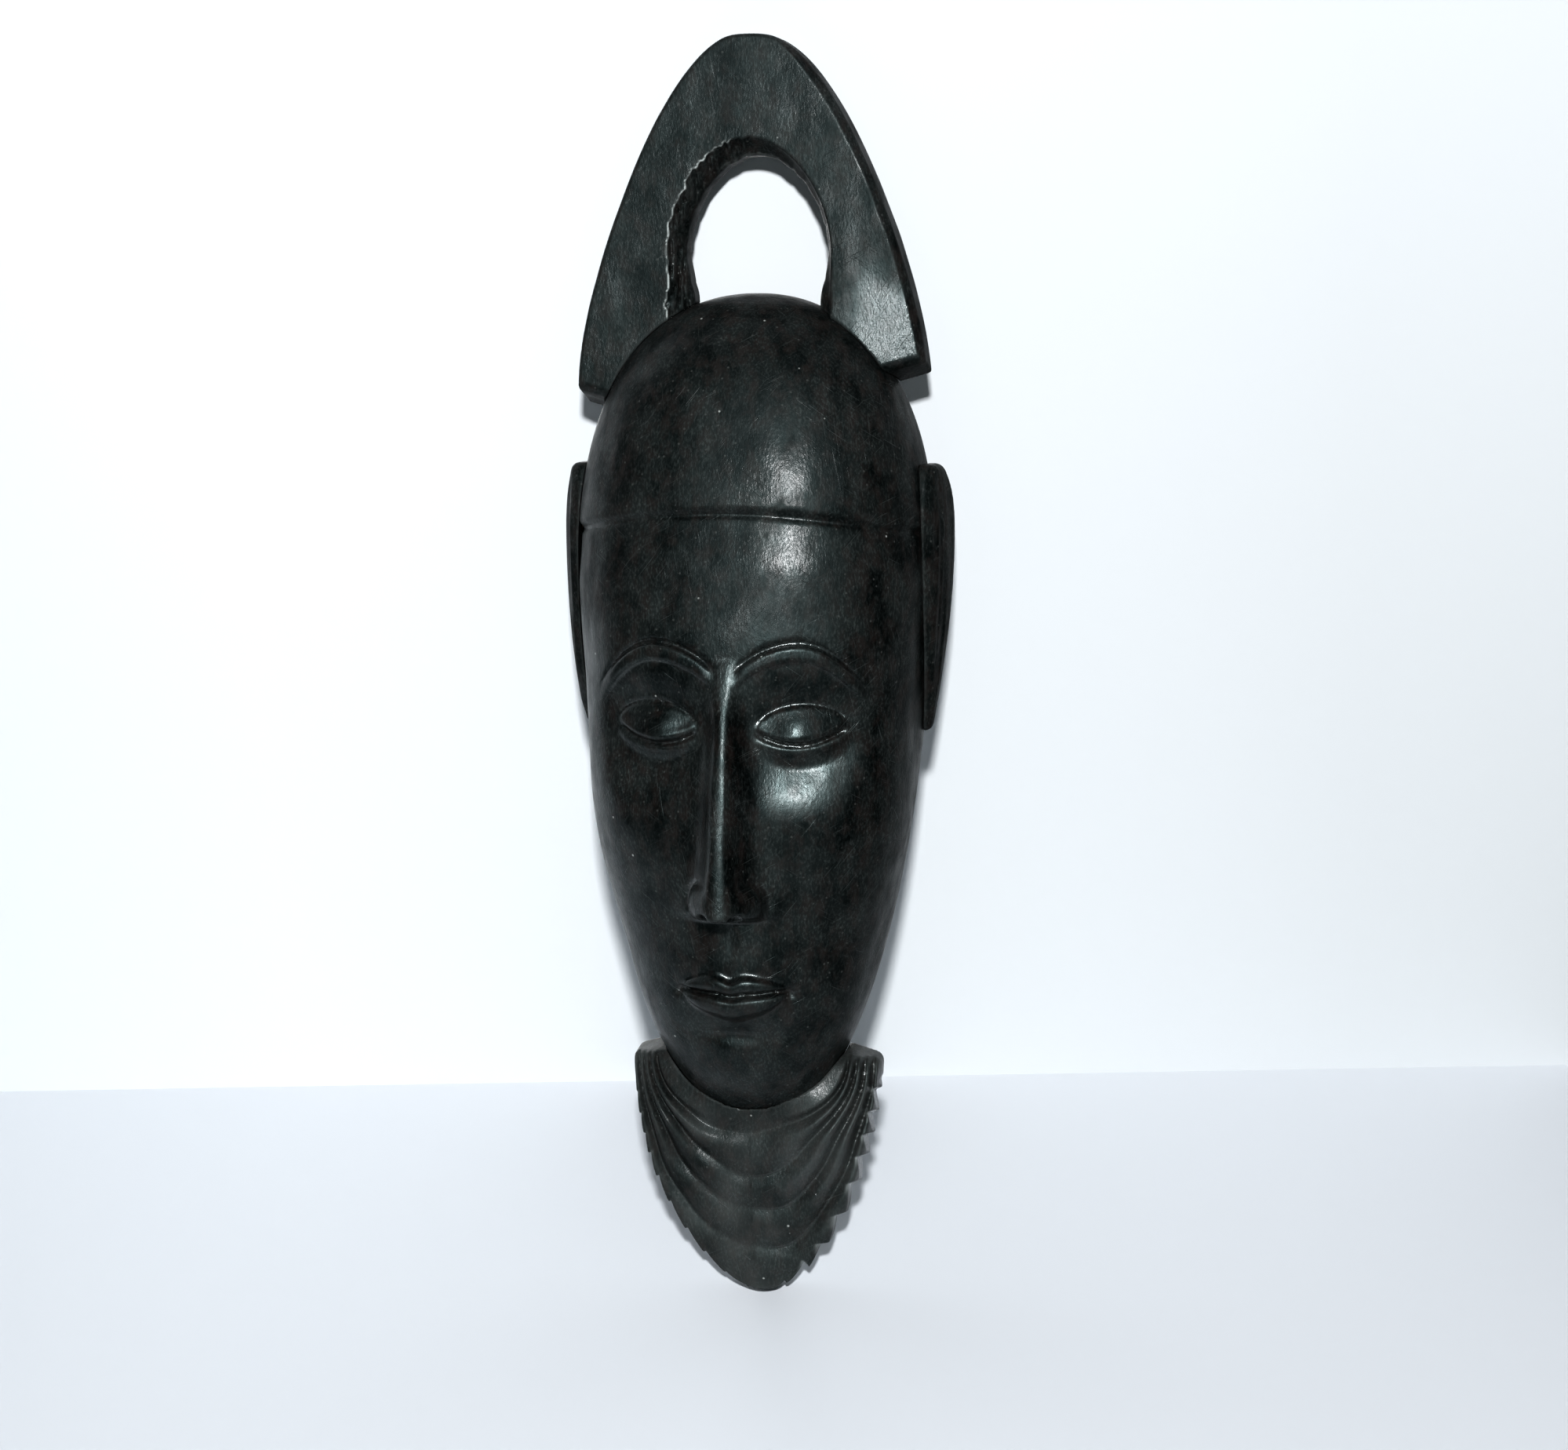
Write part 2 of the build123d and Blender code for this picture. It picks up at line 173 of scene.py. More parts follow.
def carve(node, field, step, material, **shares):
    """Makes a piece from its field, fits its vertices to the surface and has it replace a CAD node.

    shares are functions that say how pale (0 to 1) or how polished (-1 to 1) the wood is.
    """
    name = node + "_carved"
    step = step * COARSE
    points, quads = voxel_surface(field, *box_mm(node), step)
    for _ in range(3):
        slope = slope_of(field, points)
        move = field(points)[:, None] * slope / np.maximum((slope**2).sum(axis=1), 0.3)[:, None]
        length = np.linalg.norm(move, axis=1, keepdims=True)
        points -= move * np.minimum(1, 0.4 * step / np.maximum(length, 1e-9))

    mesh = bpy.data.meshes.new(name)
    mesh.from_pydata((points * MM).tolist(), [], quads[:, ::-1].tolist())
    mesh.shade_smooth()
    piece = bpy.data.objects.new(name, mesh)
    bpy.context.scene.collection.objects.link(piece)
    mark_bends(mesh, points, quads, step)
    for share_name, share in shares.items():
        attribute = mesh.attributes.new(share_name, "FLOAT", "POINT")
        attribute.data.foreach_set("value", share(points).astype(np.float32))
    mesh.materials.append(material)
    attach(piece, "mask")
    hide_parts(node)


def mark_bends(mesh, points, quads, step):
    """Stores how the surface bends at each vertex: above 0 on edges, below 0 in grooves."""
    flat = np.empty(len(points) * 3)
    mesh.vertex_normals.foreach_get("vector", flat)
    normals = flat.reshape(-1, 3)
    ends = np.concatenate([quads[:, [0, 1]], quads[:, [1, 2]], quads[:, [2, 3]], quads[:, [3, 0]]])
    count = np.bincount(ends.ravel(), minlength=len(points))

    def neighbours(values):
        total = np.bincount(ends[:, 0], values[ends[:, 1]], len(points))
        return (total + np.bincount(ends[:, 1], values[ends[:, 0]], len(points))) / count

    middle = np.stack([neighbours(points[:, axis]) for axis in range(3)], axis=1)
    bend = ((points - middle) * normals).sum(axis=1) / step**2
    for _ in range(3):
        bend = (bend + neighbours(bend)) / 2
    attribute = mesh.attributes.new("bend", "FLOAT", "POINT")
    attribute.data.foreach_set("value", bend.astype(np.float32))


# ---- the head ------------------------------------------------------------------------------------
def head_gauge(points):
    """0 on the plain egg-shaped head, which is widest high up and deepest lower down."""
    x, y, z = points.T
    depth = np.minimum(np.abs(y) / head_depth, 1)
    middle = widest_z + (deepest_z - widest_z) * depth**1.5
    above = z > middle
    rise = np.where(above, (z - middle) / (crown_z - middle), (middle - z) / (middle - chin_z))
    power = np.where(above, 2.15, 2.0) + 0.3 * depth
    plan = (np.abs(x) / head_half_width) ** plan_power + (np.abs(y) / head_depth) ** plan_power
    return (plan ** (power / plan_power) + rise**power) ** (1 / power) - 1


def head_skin(points):
    return as_distance(head_gauge, points)


def band_line(x):
    """Height of the band's lower edge across the forehead."""
    return widest_z + 8 - 6 * (x / head_half_width) ** 2


def brow_relief(side, z):
    """An arched brow band with a line cut along its upper edge. side is how far out it is."""
    out = side / eye - 1
    arch = brow_z + 0.22 * eye - np.where(out < 0, 0.5, 0.85) * eye * out**2
    above = z - arch
    ends = ramp((side - 0.1 * eye) / (0.2 * eye)) * ramp((1.95 * eye - side) / (0.35 * eye))
    band = 0.9 * ramp((above + 2.2) / 1.6) * ramp((2.6 - above) / 0.8)
    line = -0.8 * bell((above - 3.1) / 0.75)
    return ends * (band + line)


def eye_relief(side, z):
    """A hollow socket with a full, closed lid in it."""
    out = (side - eye) / eye
    up = (z - eye_z) / eye - 0.05 * out
    socket = np.sqrt((out / 0.98) ** 2 + (up / np.where(up > 0, 0.80, 1.05)) ** 2)
    relief = -4.4 * (1 - ramp((socket - 0.10) / 1.1))

    ball = np.sqrt((out / 0.62) ** 2 + (up / 0.44) ** 2)
    relief += 4.4 * (1 - ramp((ball - 0.05) / 1.15))

    along = np.clip(out / 0.56, -1.2, 1.2)
    ends = ramp((1.12 - np.abs(along)) / 0.25)
    slit = (up + 0.17 * (1 - along**2)) * eye
    lids = 0.5 * bell((slit - 1.9) / 1.2) + 0.35 * bell((slit + 1.9) / 1.1)
    relief += ends * (lids - 1.25 * bell(slit / 0.62))
    crease = (up - 0.40 * np.sqrt(np.maximum(1 - along**2 / 1.3, 0))) * eye
    relief += -0.7 * ends * bell(crease / 0.7)
    return relief


def nose_relief(side, z):
    """A long straight ridge that ends in a rounded tip between two wings."""
    down = np.clip((brow_z + 0.15 * eye - z) / (brow_z + 0.15 * eye - nose_base_z), 0, 1.1)
    ridge_half = eye * (0.17 + 0.10 * down + 0.08 * bell((down - 0.93) / 0.12))
    ridge = 13.5 * down**0.85 / (1 + (side / ridge_half) ** 3.4)
    ridge *= 1 - ramp(side / (0.8 * eye) - 0.4)
    wing_out = (side - 0.335 * eye) / (0.19 * eye)
    wing_up = (z - nose_base_z - 0.20 * eye) / (0.26 * eye)
    wing = 7.6 * np.sqrt(np.maximum(1 - (wing_out**2 + wing_up**2) / 1.25, 0))
    round_wing = np.sqrt(wing_out**2 + wing_up**2)
    crease = -0.7 * bell((round_wing - 1.25) / 0.22) * ramp(wing_up + wing_out)
    nose = (ridge**3 + wing**3) ** (1 / 3) + crease
    return nose * ramp((z - nose_base_z + 0.10 * eye) / (0.17 * eye))


def mouth_relief(side, z):
    """Small full lips, closed, with the corners just lifted."""
    along = side / (0.75 * eye)
    open_share = np.maximum(1 - along**2, 0)
    parting = mouth_z + 0.05 * eye * (along**2 - 0.6 * bell(along / 0.22))
    above = z - parting
    upper = 0.27 * eye * open_share**0.75 * (1 - 0.2 * bell(along / 0.15)) + 0.3
    lower = 0.33 * eye * open_share**0.6 + 0.3
    share = np.abs(above) / np.where(above > 0, upper, lower)
    full = np.where(above > 0, 2.3, 2.9) * open_share**0.45
    lips = full * ramp((1.22 - share) / 0.45) * (0.65 + 0.35 * np.sin(pi * np.clip(share, 0, 1)))
    line = -1.9 * bell(above / 0.75) * ramp((1.1 - along) / 0.2)
    corner = -1.1 * bell((side - 0.78 * eye) / 1.5, (z - mouth_z) / 1.5)
    return lips + line + corner


def face_relief(points):
    """How far the face stands out of the plain head, along the head's own normals."""
    x, y, z = points.T
    side = np.abs(x)
    swells = (  # how far out and at what height, half width, half height, rise
        (1.40 * eye, eye_z - 1.15 * eye, 0.85 * eye, 0.80 * eye, 0.8),  # cheekbone
        (1.25 * eye, mouth_z + 0.80 * eye, 0.70 * eye, 1.10 * eye, -2.2),  # hollow of the cheek
        (0.0, mouth_z + 0.10 * eye, 1.00 * eye, 0.75 * eye, 1.8),  # muzzle
        (0.0, mouth_z - 0.62 * eye, 0.60 * eye, 0.16 * eye, -1.7),  # fold under the lower lip
        (0.0, mouth_z - 1.20 * eye, 0.55 * eye, 0.45 * eye, 1.6),  # chin
        (0.0, nose_base_z - 0.30 * eye, 0.09 * eye, 0.25 * eye, -0.7),  # groove under the nose
        (0.0, brow_z + 0.55 * eye, 0.80 * eye, 0.70 * eye, 0.7),  # forehead between the brows
        (2.15 * eye, brow_z - 0.20 * eye, 0.40 * eye, 1.20 * eye, -1.2),  # temple
    )
    relief = nose_relief(side, z) + mouth_relief(side, z)
    relief = relief + brow_relief(side, z) + eye_relief(side, z)
    for out, height, half_width, half_height, rise in swells:
        relief = relief + rise * bell((side - out) / half_width, (z - height) / half_height)
    return relief


def band_relief(x, z):
    """A line cut across the forehead, with the wood under it pared down a little."""
    below = band_line(x) - z
    line = -1.0 * bell((below - 0.3) / 1.05)
    pared = -0.8 * ramp(below / 1.2) * (1 - ramp((below - 3) / 12))
    return line + pared


def gouged(points):
    """Shallow overlapping scoops, as a gouge leaves them."""
    x, _, z = points.T
    lanes = x / 7.5 + 0.25 * noise(points, (9, 9, 14), 21)
    lengthwise = z / 17 + 0.5 * np.floor(lanes) + 0.2 * noise(points, (6, 6, 9), 22)
    across = np.abs(lanes - np.floor(lanes) - 0.5) * 2
    along = np.abs(lengthwise - np.floor(lengthwise) - 0.5) * 2
    return 0.55 * across**2 + 0.35 * along**2


def hollow(points):
    """The scoop out of the back of the head."""
    x, y, z = points.T
    half_width, half_height = 0.6 * head_half_width, 66.0
    middle = head_low[2] + 94.0
    along = (z - middle) / half_height
    gauge = np.sqrt((x / half_width) ** 2 + (y / half_width) ** 2 + along**2) - 1
    return gauge * half_width * 0.9 + gouged(points)


def hanger_pocket(points):
    """A rounded slot for the strap and ring, long enough for the ring to swing right over."""
    x, y, z = points.T
    strap_eye_radius, room, corner = 1.9, 2.5, 4.0
    axis_z = strap_high[2] - strap_eye_radius
    low_z, high_z = ring_low[2] - room, 2 * axis_z - ring_low[2] + 4
    half_width = ring_high[0] + room
    over_x = np.abs(x) - half_width + corner
    over_z = np.abs(z - (low_z + high_z) / 2) - (high_z - low_z) / 2 + corner
    outside = np.hypot(np.maximum(over_x, 0), np.maximum(over_z, 0))
    outline = outside + np.minimum(np.maximum(over_x, over_z), 0)
    chiselled = 0.12 * noise(points, (2.5, 2.5, 8), 23)
    return np.maximum(outline - corner + chiselled, strap_low[1] - 0.1 - y + chiselled)


def round_holes(points, axes, radius):
    """Holes along axes, each given as its centre, direction and half length."""
    nearest = np.full(len(points), 1e3)
    for centre, direction, half_length in axes:
        offset = points - centre
        along = offset @ direction
        away = np.linalg.norm(offset - along[:, None] * direction, axis=1)
        nearest = np.minimum(nearest, np.maximum(away - radius, np.abs(along) - half_length))
    return nearest


def peg_axes(node, room=0.4):
    """Centre, direction and half length of each peg in a CAD node, with room at both ends."""
    points = np.array([v.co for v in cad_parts[node].data.vertices], dtype=float) / MM
    low, high = points.min(axis=0), points.max(axis=0)
    upper = (points[:, 2] > (low[2] + high[2]) / 2) & (high[2] - low[2] > 20)
    axes = []
    for key in (0, 1, 2, 3):
        peg = points[(2 * upper + (points[:, 0] > 0)) == key]
        if len(peg):
            centre = (peg.min(axis=0) + peg.max(axis=0)) / 2
            direction = np.linalg.svd(peg - centre, full_matrices=False)[2][0]
            axes.append((centre, direction, np.abs((peg - centre) @ direction).max() + room))
    return axes


peg_holes = peg_axes("crest_dowels") + peg_axes("ear_dowels") + peg_axes("beard_dowels")
peg_radius = 2.05
screw_middle = (screw_low + screw_high) / 2
screw_hole = [(screw_middle, np.array([0.0, 1.0, 0.0]), screw_high[1] - screw_middle[1] + 1)]


def nostrils(points):
    """Two small scoops under the tip of the nose."""
    x, y, z = points.T
    deep = -head_depth - 5.5
    across, inward = (np.abs(x) - 0.2 * eye) / 2.1, (y - deep) / 4.2
    up = (z - nose_base_z - 0.2) / 2.2
    return (np.sqrt(across**2 + inward**2 + up**2) - 1) * 2


def head_polish(points):
    """The crown, where hands don't reach, is matt, and the forehead is duller than the face."""
    crown = ramp((points[:, 2] - crown_z + 14) / 8) * ramp((points[:, 1] + 26) / 10)
    forehead = ramp((points[:, 2] - brow_z - 6) / 10)
    return -np.maximum(crown, 0.6 * forehead)


def face_block(points):
    x, y, z = points.T
    front = ramp((-y - 4) / 9)
    hand_work = 0.22 * noise(points, (13, 13, 24), 1) + 0.07 * noise(points, (4, 4, 7), 2)
    wood = head_skin(points) - front * (face_relief(points) + band_relief(x, z) + hand_work)
    wood = cut(wood, nostrils(points), 1.0)
    wood = smooth_max(wood, y + 0.05 * noise(points, (1.5, 5, 30), 3), 1.2)
    wood = cut(wood, hollow(points), 1.2)
    wood = cut(wood, hanger_pocket(points), 0.7)
    wood = cut(wood, np.maximum(z - beard_top_z - glue_gap, -y - lap_depth - glue_gap))
    wood = cut(wood, round_holes(points, peg_holes, peg_radius), 0.1)
    return cut(wood, round_holes(points, screw_hole, 1.5), 0.1)


# ---- the crest -----------------------------------------------------------------------------------
crest_front = -crest_low[1]
arch_z = crest_low[2] + 37.0


def crest_outline(points):
    """0 on the crest's edge: a parabola that turns down more steeply at the feet."""
    x, _, z = points.T
    down = crest_high[2] + 0.3 - z
    return x**2 - 26.4 * down + 158 * (np.clip(down, 0, 110) / 78) ** 6.5


def arch(x, z, middle, half_width, rise, narrowing):
    """0 on a slightly pointed arch that draws in towards its sill."""
    across = np.abs(x - middle)
    up = np.maximum(z - arch_z, 0) / rise
    side = across / (half_width - narrowing * ramp((arch_z - z) / 14))
    return (side**1.85 + up**1.85) ** (1 / 1.85) - 1


def opening(points):
    """The arched opening, a little to the right of its bevel, with small bites from the knife."""
    x, _, z = points.T
    around = np.arctan2(z - arch_z, x) * 18
    bites = 0.012 * np.abs(np.sin(around * pi / 5.0 + 1.5 * noise(points, (7, 50, 7), 31)))
    return arch(x, z, 1.0, 18.2, 24.2, 2.2) + bites


def bevel_edge(points):
    """Where the bevel round the opening starts, torn along the grain on the left."""
    x, _, z = points.T
    torn = ramp((4 - x) / 10) * ramp((z - arch_z + 30) / 8)
    ragged = 0.034 * noise(points, (0.9, 30, 2.2), 35) + 0.034 * noise(points, (2.5, 30, 5.0), 36)
    return arch(x, z, -0.3, 20.9, 28.3, 0.0) + torn * ragged


def bevel_share(points):
    """How far outside the opening, and the share: 0 at the opening and 1 at the bevel's edge."""
    inner = as_distance(opening, points)
    return inner, np.clip(inner / np.maximum(inner - as_distance(bevel_edge, points), 0.2), -0.5, 3)


def crest_arch(points):
    x, y, z = points.T
    depth = -y
    outline = as_distance(crest_outline, points)
    outline = smooth_max(outline, z - crest_high[2] + 0.3, 1.5)
    outline = outline + 0.12 * noise(points, (9, 30, 9), 32)
    worn = 0.20 * noise(points, (14, 30, 18), 33) + 0.07 * noise(points, (4, 9, 6), 34)
    worn += 0.06 * np.maximum(x - 24, 0) * ramp((crest_low[2] + 46 - z) / 24)
    front = crest_front - 0.3 - worn
    wood = smooth_max(outline, depth - front, 0.9)
    chamfer = 0.5 + 1.2 * ramp((x - 2) / 14) + 0.15 * noise(points, (5, 30, 5), 37)
    wood = smooth_max(wood, (outline + 0.8 * (depth - front) + chamfer) / 1.28, 0.35)

    hole, share = bevel_share(points)
    dip = 4.6 * np.clip(1 - share, 0, 1.5) ** 0.85
    wood = smooth_max(wood, np.where(share < 1, (depth - front + dip) / 1.5, depth - front), 0.15)
    wood = cut(wood, hole, 0.7)

    right = x > 0
    foot_z = np.where(right, crest_low[2] + 10.0, crest_low[2] + 2.5)
    under = foot_z - 6 + (np.abs(x) - 34) * 0.29 + 4.0 * depth / crest_front - z
    wood = smooth_max(wood, under / 1.1, 0.7)
    wood = smooth_max(wood, (under / 1.1 + depth - front + 1.3) / 1.4, 0.4)
    wood = smooth_max(wood, y, 0.8)
    wood = cut(wood, head_skin(points) - glue_gap, 0.3)
    return cut(wood, round_holes(points, peg_holes, peg_radius), 0.1)


def crest_polish(points):
    """The right foot is rubbed bright in front. The opening's sides and the edges are matt."""
    x, y, z = points.T
    facing = ramp((-y - crest_front + 2.0) / 0.8)
    middle = bell((x - 34 - 0.2 * (crest_low[2] + 22 - z)) / 10, (z - crest_low[2] - 17) / 13)
    rubbed = ramp(1.5 * middle + 0.25 * noise(points, (5, 5, 7), 40) - 0.15)
    return facing * (1.55 * rubbed - 0.55) + facing - 1


def crest_splinters(points):
    """Bare wood along the torn edge of the bevel, and a rubbed rim inside the opening."""
    x, y, z = points.T
    front = ramp((-y - crest_front + 2.2) / 0.8)
    hole, share = bevel_share(points)
    edge = as_distance(bevel_edge, points)
    patchy = 0.35 + 0.65 * ramp((noise(points, (2, 30, 3), 38) + 0.45) / 0.5)
    on_left = ramp((-x - 3) / 5) * ramp((z - arch_z + 20) / 5)
    torn = bell((edge - 0.1) / 0.15) * on_left * front * patchy
    speckled = 0.11 + 0.10 * noise(points, (0.9, 0.9, 0.9), 39)
    rim = bell((share - 0.1) / 0.22, (hole - 0.4) / 0.9) * ramp((x + 14) / 10) * speckled
    return np.clip(torn + rim, 0, 1)


# ---- the ear plates ------------------------------------------------------------------------------
def matt(points):
    """Wood that is nowhere polished."""
    return np.full(len(points), -1.0)


def ear_plate(node, side):
    """The field of one ear plate: a shallow bow, split lengthwise by the grain on its outside."""
    low, high = box_mm(node)
    outer = max(abs(low[0]), abs(high[0]))
    top_z, tip_z, depth = high[2], low[2], -low[1]
    full_z = tip_z + 0.74 * (top_z - tip_z)

    def field(points):
        x, y, z = points.T
        above = z > full_z
        rise = np.where(above, (z - full_z) / (top_z - full_z), (full_z - z) / (full_z - tip_z))
        turned_in = np.clip(rise, 0, 2)
        bow = outer - np.where(above, 3.2 * turned_in**3, 5.6 * turned_in**1.9)
        front = depth - np.where(above, 0.25, 0.7) * depth * rise**2
        striped = 0.22 * noise(points, (3, 0.9, 40), 41) + 0.25 * noise(points, (6, 3.5, 60), 42)
        slope = side * x - (outer + 1) + 0.37 * (depth - front - y)
        face = smooth_max(side * x - bow, slope / 1.07, 1.5)
        wood = smooth_max(face + striped * ramp((front + y) / 2), -y - front, 0.7)
        wood = smooth_max(wood, (face - y - front + 1.6) / 1.4, 0.4)
        wood = smooth_max(wood, np.maximum(z - top_z, tip_z - z), 2.0)
        wood = smooth_max(wood, y, 0.6)
        wood = cut(wood, head_skin(points) - glue_gap, 0.3)
        return cut(wood, round_holes(points, peg_holes, peg_radius), 0.1)

    return field


# ---- the beard -----------------------------------------------------------------------------------
beard_edge, beard_rise = 10.0, 5.4


def beard_outline(points):
    """0 on the beard's edge in front view: a full half ellipse whose tip leans to the right."""
    x, _, z = points.T
    down = np.maximum(beard_top_z - z, 0) / beard_top_z
    across = np.abs(x - 1.8 * down**2) / beard_half_width
    return (across**1.8 + down**1.8) ** (1 / 1.8) - 1


def edge_length(points):
    """Distance up the beard's edge from its tip.

    On the right the knife came in level, and on the left square to the edge.
    """
    x, _, z = points.T
    turns = np.linspace(0, pi / 2, 60)
    across, up = beard_half_width * np.sin(turns), beard_top_z * np.cos(turns)
    steps = np.hypot(np.diff(across), np.diff(up))
    lengths = np.concatenate([[0], np.cumsum(steps)])
    square = np.arctan2(np.abs(x) / beard_half_width, (beard_top_z - z) / beard_top_z)
    level = np.arccos(np.clip(1 - (z + 0.25 * (15 - x)) / beard_top_z, 0, 1))
    share = ramp((x - 5) / 8) * ramp((z - 5) / 12)
    return np.interp(square + (level - square) * share, turns, lengths)


def teeth(points):
    """How far the edge steps in: little by little up each tooth, and all at once under the next."""
    x, y, z = points.T
    length = edge_length(points) - 5 + 1.2 * noise(points, (60, 60, 11), 51)
    length = length + 0.22 * (y + beard_edge)
    turn = (length + 2.2 * np.sin(length / 10 + 0.6)) / 6.8
    tooth = turn - np.floor(turn)
    sharp = ramp((1 - tooth) / 0.10) * tooth**1.3
    deeper_right = ramp((x + 1) / 6) * (0.7 + 0.5 * ramp((45 - z) / 20))
    depth = 1.1 + deeper_right + 0.3 * noise(points, (40, 40, 6), 54)
    return depth * sharp * ramp((length - 1) / 7) * ramp((beard_top_z - 5 - z) / 2)


def fold_place(points):
    """The direction from the middle of the beard's top, and 0 at the chin to 1 on its edge."""
    x, _, z = points.T
    turn = np.arctan2(beard_top_z + 1 - z, np.abs(x) + 0.01)
    jaw = 1 / np.hypot(np.cos(turn) / 25.0, np.sin(turn) / 19.5)
    rim = 1 / np.hypot(np.cos(turn) / beard_half_width, np.sin(turn) / beard_top_z)
    out = (np.hypot(x, beard_top_z + 1 - z) - jaw) / (rim - jaw)
    return turn, np.clip(out, -1.0, 1.1)


def beard_collar(points):
    x, y, z = points.T
    edge = as_distance(beard_outline, points) + teeth(points)

    # folds hang like draped cloth from both top corners, and run out at the middle
    turn, out = fold_place(points)
    folds = 4.0 * out + 0.22 * noise(points, (11, 30, 11), 52)
    wave = np.where(folds < 0, 0.6 * ramp(-folds / 0.5), np.abs(np.sin(pi * folds)) ** 1.1)
    running_out = 1 - 0.66 * ramp(turn - 0.55)
    strength = np.where(x > 0, 3.2, 2.6) * running_out * ramp((turn + 0.1) / 0.3)
    corner = np.where(x > 0, 4.4, 2.4) * (1 - ramp(turn / 0.95))
    slope = beard_edge + beard_rise * (1 - ramp(out)) ** 0.8 - corner
    front = slope - 1.8 + strength * wave * ramp((1.02 - out) / 0.1)
    worn = 0.15 * noise(points, (5, 20, 5), 53)
    wood = smooth_max(edge, (-y - front + worn) / 1.15, 0.6)
    top = beard_top_z + 1.9 - 0.28 * np.maximum(np.abs(x) - 24.5, 0)
    wood = smooth_max(wood, (z - top - 0.18 * (y + 3)) / 1.02, 2.2)
    wood = smooth_max(wood, y, 0.6)
    chin = np.maximum(head_skin(points) - glue_gap, np.minimum(y + lap_depth, beard_top_z - z))
    wood = cut(wood, chin, 0.3)
    return cut(wood, round_holes(points, peg_holes, peg_radius), 0.1)


def beard_polish(points):
    """The folds are rubbed bright on the right and dull on the left and under the chin."""
    x, _, z = points.T
    turn, out = fold_place(points)
    bright = ramp((x - 3) / 8) * ramp((z - 20) / 14) * ramp((out - 0.1) / 0.25)
    dull = np.maximum(ramp((0.12 - out) / 0.12), ramp((4 - x) / 8))
    return 1.4 * bright - 0.2 - 0.6 * dull


def beard_cuts(points):
    """Fresh chisel cuts on the undersides and ends of the teeth, and dust all over."""
    x, y, _ = points.T
    edge = np.abs(as_distance(beard_outline, points) + teeth(points))
    stepped = ramp((teeth(points) - 0.6) / 1.2)
    dusty = 0.08 + 0.03 * noise(points, (6, 6, 9), 56)
    broken = 0.6 + 0.4 * noise(points, (1.5, 1.5, 1.5), 55)
    return dusty + 0.5 * stepped * bell(edge / 0.6) * broken


# ---- materials -----------------------------------------------------------------------------------
class Nodes:
    """Builds a material's nodes: each method adds one and returns its output."""

    def __init__(self, tree):
        self.tree = tree
        self.tree.nodes.clear()
        coordinates = self.add("ShaderNodeTexCoord").outputs
        self.generated = coordinates["Generated"]
        self.place = self.scaled(coordinates["Object"], (1 / MM, 1 / MM, 1 / MM))

    @classmethod
    def of_material(cls, name):
        material = bpy.data.materials.new(name)
        material.use_nodes = True
        nodes = cls(material.node_tree)
        nodes.material = material
        return nodes

    def add(self, kind, inputs=(), **settings):
        node = self.tree.nodes.new(kind)
        for key, value in settings.items():
            setattr(node, key, value)
        for key, value in dict(inputs).items():
            if hasattr(value, "is_output"):
                self.tree.links.new(value, node.inputs[key])
            else:
                node.inputs[key].default_value = value
        return node

    def scaled(self, vector, scale, rotation=(0, 0, 0)):
        inputs = {"Vector": vector, "Scale": scale, "Rotation": rotation}
        return self.add("ShaderNodeMapping", inputs).outputs["Vector"]

    def noise(self, lump, detail=2.0, rotation=(0, 0, 0), seed=0.0):
        """Noise from 0 to 1 whose lumps have this size in millimetres along each axis."""
        turned = self.scaled(self.place, (1, 1, 1), rotation)
        vector = self.scaled(turned, [1 / size for size in lump])
        inputs = {"Vector": vector, "W": seed, "Scale": 1.0, "Detail": detail, "Roughness": 0.55}
        return self.add("ShaderNodeTexNoise", inputs, noise_dimensions="4D").outputs["Fac"]

    def between(self, value, low, high, to_low=0.0, to_high=1.0):
        inputs = {"Value": value, 1: low, 2: high, 3: to_low, 4: to_high}
        return self.add("ShaderNodeMapRange", inputs, clamp=True).outputs["Result"]

    def math(self, operation, a, b=0.0):
        return self.add("ShaderNodeMath", {0: a, 1: b}, operation=operation).outputs[0]

    def mixed(self, share, a, b):
        """Colour a where share is 0 and b where it is 1."""
        node = self.add("ShaderNodeMix", {"Factor": share}, data_type="RGBA")
        for index, colour in ((6, a), (7, b)):
            if hasattr(colour, "is_output"):
                self.tree.links.new(colour, node.inputs[index])
            else:
                node.inputs[index].default_value = (*colour, 1)
        return node.outputs[2]

    def bump(self, height, strength, depth_mm):
        inputs = {"Height": height, "Strength": strength, "Distance": depth_mm * MM}
        return self.add("ShaderNodeBump", inputs).outputs["Normal"]

    def finish(self, **inputs):
        spaced = {key.replace("_", " "): value for key, value in inputs.items()}
        shader = self.add("ShaderNodeBsdfPrincipled", spaced)
        output = self.add("ShaderNodeOutputMaterial")
        self.tree.links.new(shader.outputs[0], output.inputs["Surface"])
        return self.material


def spots(nodes, apart, edge, middle, strength):
    """Round spots, one to a cell this many millimetres wide, that fade from middle to edge."""
    place = nodes.scaled(nodes.place, (1 / apart, 1 / apart, 1 / apart))
    texture = nodes.add("ShaderNodeTexVoronoi", {"Vector": place, "Scale": 1.0})
    return nodes.between(texture.outputs["Distance"], edge, middle, 0.0, strength)


def scratches(nodes, angle, seed):
    """Thin lines from 0 to 1 that run at this angle across the front, in patches."""
    lines = nodes.noise((0.20, 7.0, 11.0), 0.0, (0, radians(angle), 0), seed)
    patches = nodes.between(nodes.noise((13, 13, 13), 1.0, seed=seed + 3), 0.50, 0.62)
    return nodes.math("MULTIPLY", nodes.between(lines, 0.72, 0.82), patches)


